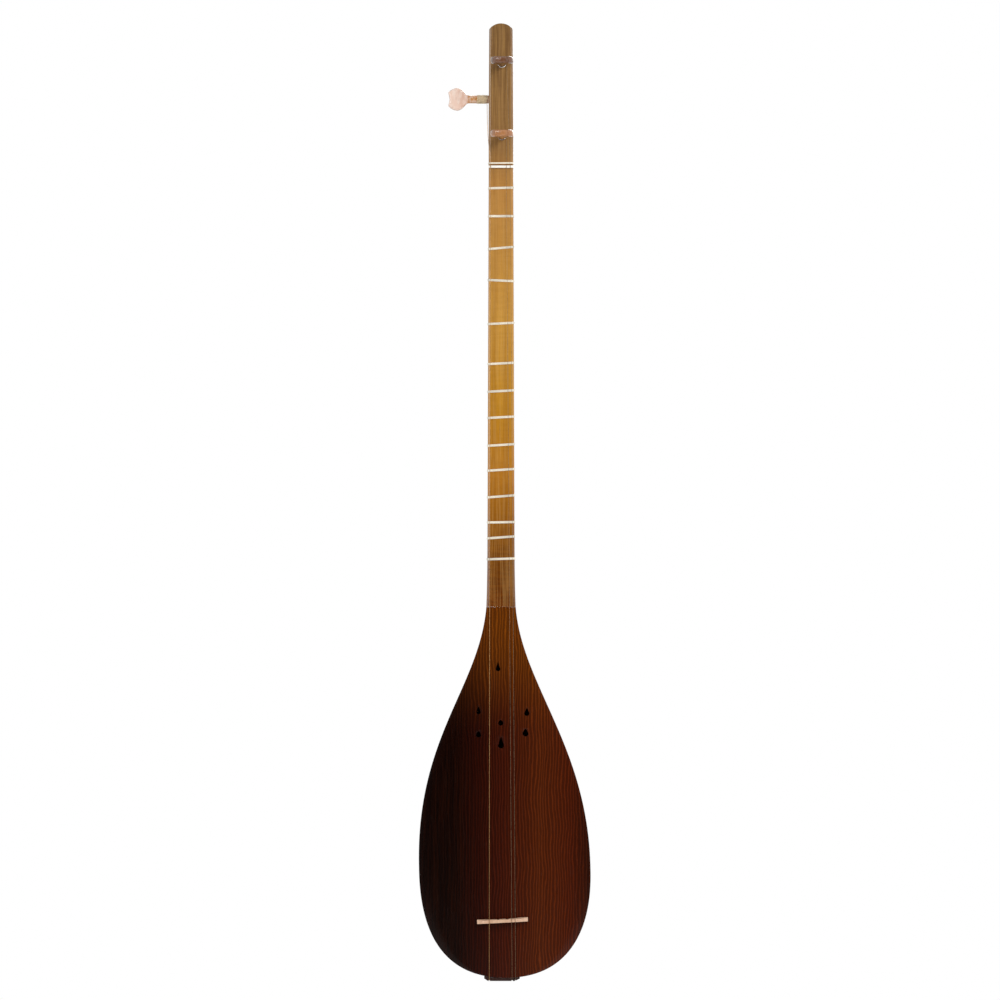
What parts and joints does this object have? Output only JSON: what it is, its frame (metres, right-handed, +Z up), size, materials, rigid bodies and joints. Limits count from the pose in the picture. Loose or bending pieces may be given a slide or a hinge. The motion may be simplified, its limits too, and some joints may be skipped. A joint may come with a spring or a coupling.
{
  "type": "long-necked lute",
  "caption": "Tanbur: long-necked plucked lute with a ribbed bowl, dark soundboard with drop-shaped holes, tied gut frets, loose bridge and friction pegs.",
  "frame": {"origin": "middle of the flat lower face of the string holder, in the plane of the soundboard's front", "axes": "+Z up the neck, -Y out of the soundboard towards the player's view, +X to the treble side"},
  "size_m": [0.1667, 0.1735, 0.93],
  "materials": {
    "rib_wood": "lacquered satin",
    "board_wood": "dark stain, lacquered",
    "neck_wood": "lacquered gloss",
    "block_wood": "raw",
    "holder_wood": "satin",
    "peg_wood": "gloss",
    "bridge_wood": "satin",
    "bone": "polished bone",
    "gut": "polished gut",
    "steel": "plain steel wire",
    "bronze": "bronze wound wire",
    "brass": "satin"
  },
  "bodies": {
    "root": {"rib_1": "rib_wood", "rib_2": "rib_wood", "rib_3": "rib_wood", "rib_4": "rib_wood", "rib_5": "rib_wood", "rib_6": "rib_wood", "rib_7": "rib_wood", "rib_8": "rib_wood", "rib_9": "rib_wood", "soundboard": "board_wood", "neck": "neck_wood", "end_block": "block_wood", "string_holder": "holder_wood", "pin_bass": "brass", "pin_inner": "brass", "pin_outer": "brass", "nut": "bone", "nut_tie": "gut", "string_bass": "bronze", "string_inner": "steel", "string_outer": "steel"},
    "bridge": {"bridge": "bridge_wood"},
    "peg_side": {"peg_side": "peg_wood", "winding_bass": "bronze"},
    "peg_upper": {"peg_upper": "peg_wood", "winding_outer": "steel"},
    "peg_lower": {"peg_lower": "peg_wood", "winding_inner": "steel"},
    "fret_01_wrap": {"fret_01": "gut"},
    "fret_02_wrap": {"fret_02": "gut"},
    "fret_03_wrap": {"fret_03": "gut"},
    "fret_04_wrap": {"fret_04": "gut"},
    "fret_05_wrap": {"fret_05": "gut"},
    "fret_06_wrap": {"fret_06": "gut"},
    "fret_07_wrap": {"fret_07": "gut"},
    "fret_08_wrap": {"fret_08": "gut"},
    "fret_09_wrap": {"fret_09": "gut"},
    "fret_10_wrap": {"fret_10": "gut"},
    "fret_11_wrap": {"fret_11": "gut"},
    "fret_12_wrap": {"fret_12": "gut"},
    "fret_13_wrap": {"fret_13": "gut"},
    "fret_14_wrap": {"fret_14": "gut"}
  },
  "joints": [
    {"name": "turn_side_peg", "type": "hinge", "parent": "root", "child": "peg_side", "pos_m": [-0.012, 0.0102, 0.857], "axis": [-1, 0, 0], "continuous": true},
    {"name": "turn_upper_peg", "type": "hinge", "parent": "root", "child": "peg_upper", "pos_m": [0.001, 0, 0.8912], "axis": [0, -1, 0], "continuous": true},
    {"name": "turn_lower_peg", "type": "hinge", "parent": "root", "child": "peg_lower", "pos_m": [0.001, 0, 0.8206], "axis": [0, -1, 0], "continuous": true},
    {"name": "shift_bridge", "type": "slide", "parent": "root", "child": "bridge", "axis": [0, 0, 1], "range_m": [0, 0.004]},
    {"name": "shift_fret_01", "type": "slide", "parent": "root", "child": "fret_01_wrap", "axis": [0, 0, 1], "range_m": [-0.003, 0.003]},
    {"name": "shift_fret_02", "type": "slide", "parent": "root", "child": "fret_02_wrap", "axis": [0, 0, 1], "range_m": [-0.003, 0.003]},
    {"name": "shift_fret_03", "type": "slide", "parent": "root", "child": "fret_03_wrap", "axis": [0, 0, 1], "range_m": [-0.003, 0.003]},
    {"name": "shift_fret_04", "type": "slide", "parent": "root", "child": "fret_04_wrap", "axis": [0, 0, 1], "range_m": [-0.003, 0.003]},
    {"name": "shift_fret_05", "type": "slide", "parent": "root", "child": "fret_05_wrap", "axis": [0, 0, 1], "range_m": [-0.003, 0.003]},
    {"name": "shift_fret_06", "type": "slide", "parent": "root", "child": "fret_06_wrap", "axis": [0, 0, 1], "range_m": [-0.003, 0.003]},
    {"name": "shift_fret_07", "type": "slide", "parent": "root", "child": "fret_07_wrap", "axis": [0, 0, 1], "range_m": [-0.003, 0.003]},
    {"name": "shift_fret_08", "type": "slide", "parent": "root", "child": "fret_08_wrap", "axis": [0, 0, 1], "range_m": [-0.003, 0.003]},
    {"name": "shift_fret_09", "type": "slide", "parent": "root", "child": "fret_09_wrap", "axis": [0, 0, 1], "range_m": [-0.003, 0.003]},
    {"name": "shift_fret_10", "type": "slide", "parent": "root", "child": "fret_10_wrap", "axis": [0, 0, 1], "range_m": [-0.003, 0.003]},
    {"name": "shift_fret_11", "type": "slide", "parent": "root", "child": "fret_11_wrap", "axis": [0, 0, 1], "range_m": [-0.003, 0.003]},
    {"name": "shift_fret_12", "type": "slide", "parent": "root", "child": "fret_12_wrap", "axis": [0, 0, 1], "range_m": [-0.003, 0.003]},
    {"name": "shift_fret_13", "type": "slide", "parent": "root", "child": "fret_13_wrap", "axis": [0, 0, 1], "range_m": [-0.003, 0.003]},
    {"name": "shift_fret_14", "type": "slide", "parent": "root", "child": "fret_14_wrap", "axis": [0, 0, 1], "range_m": [-0.003, 0.003]}
  ]
}
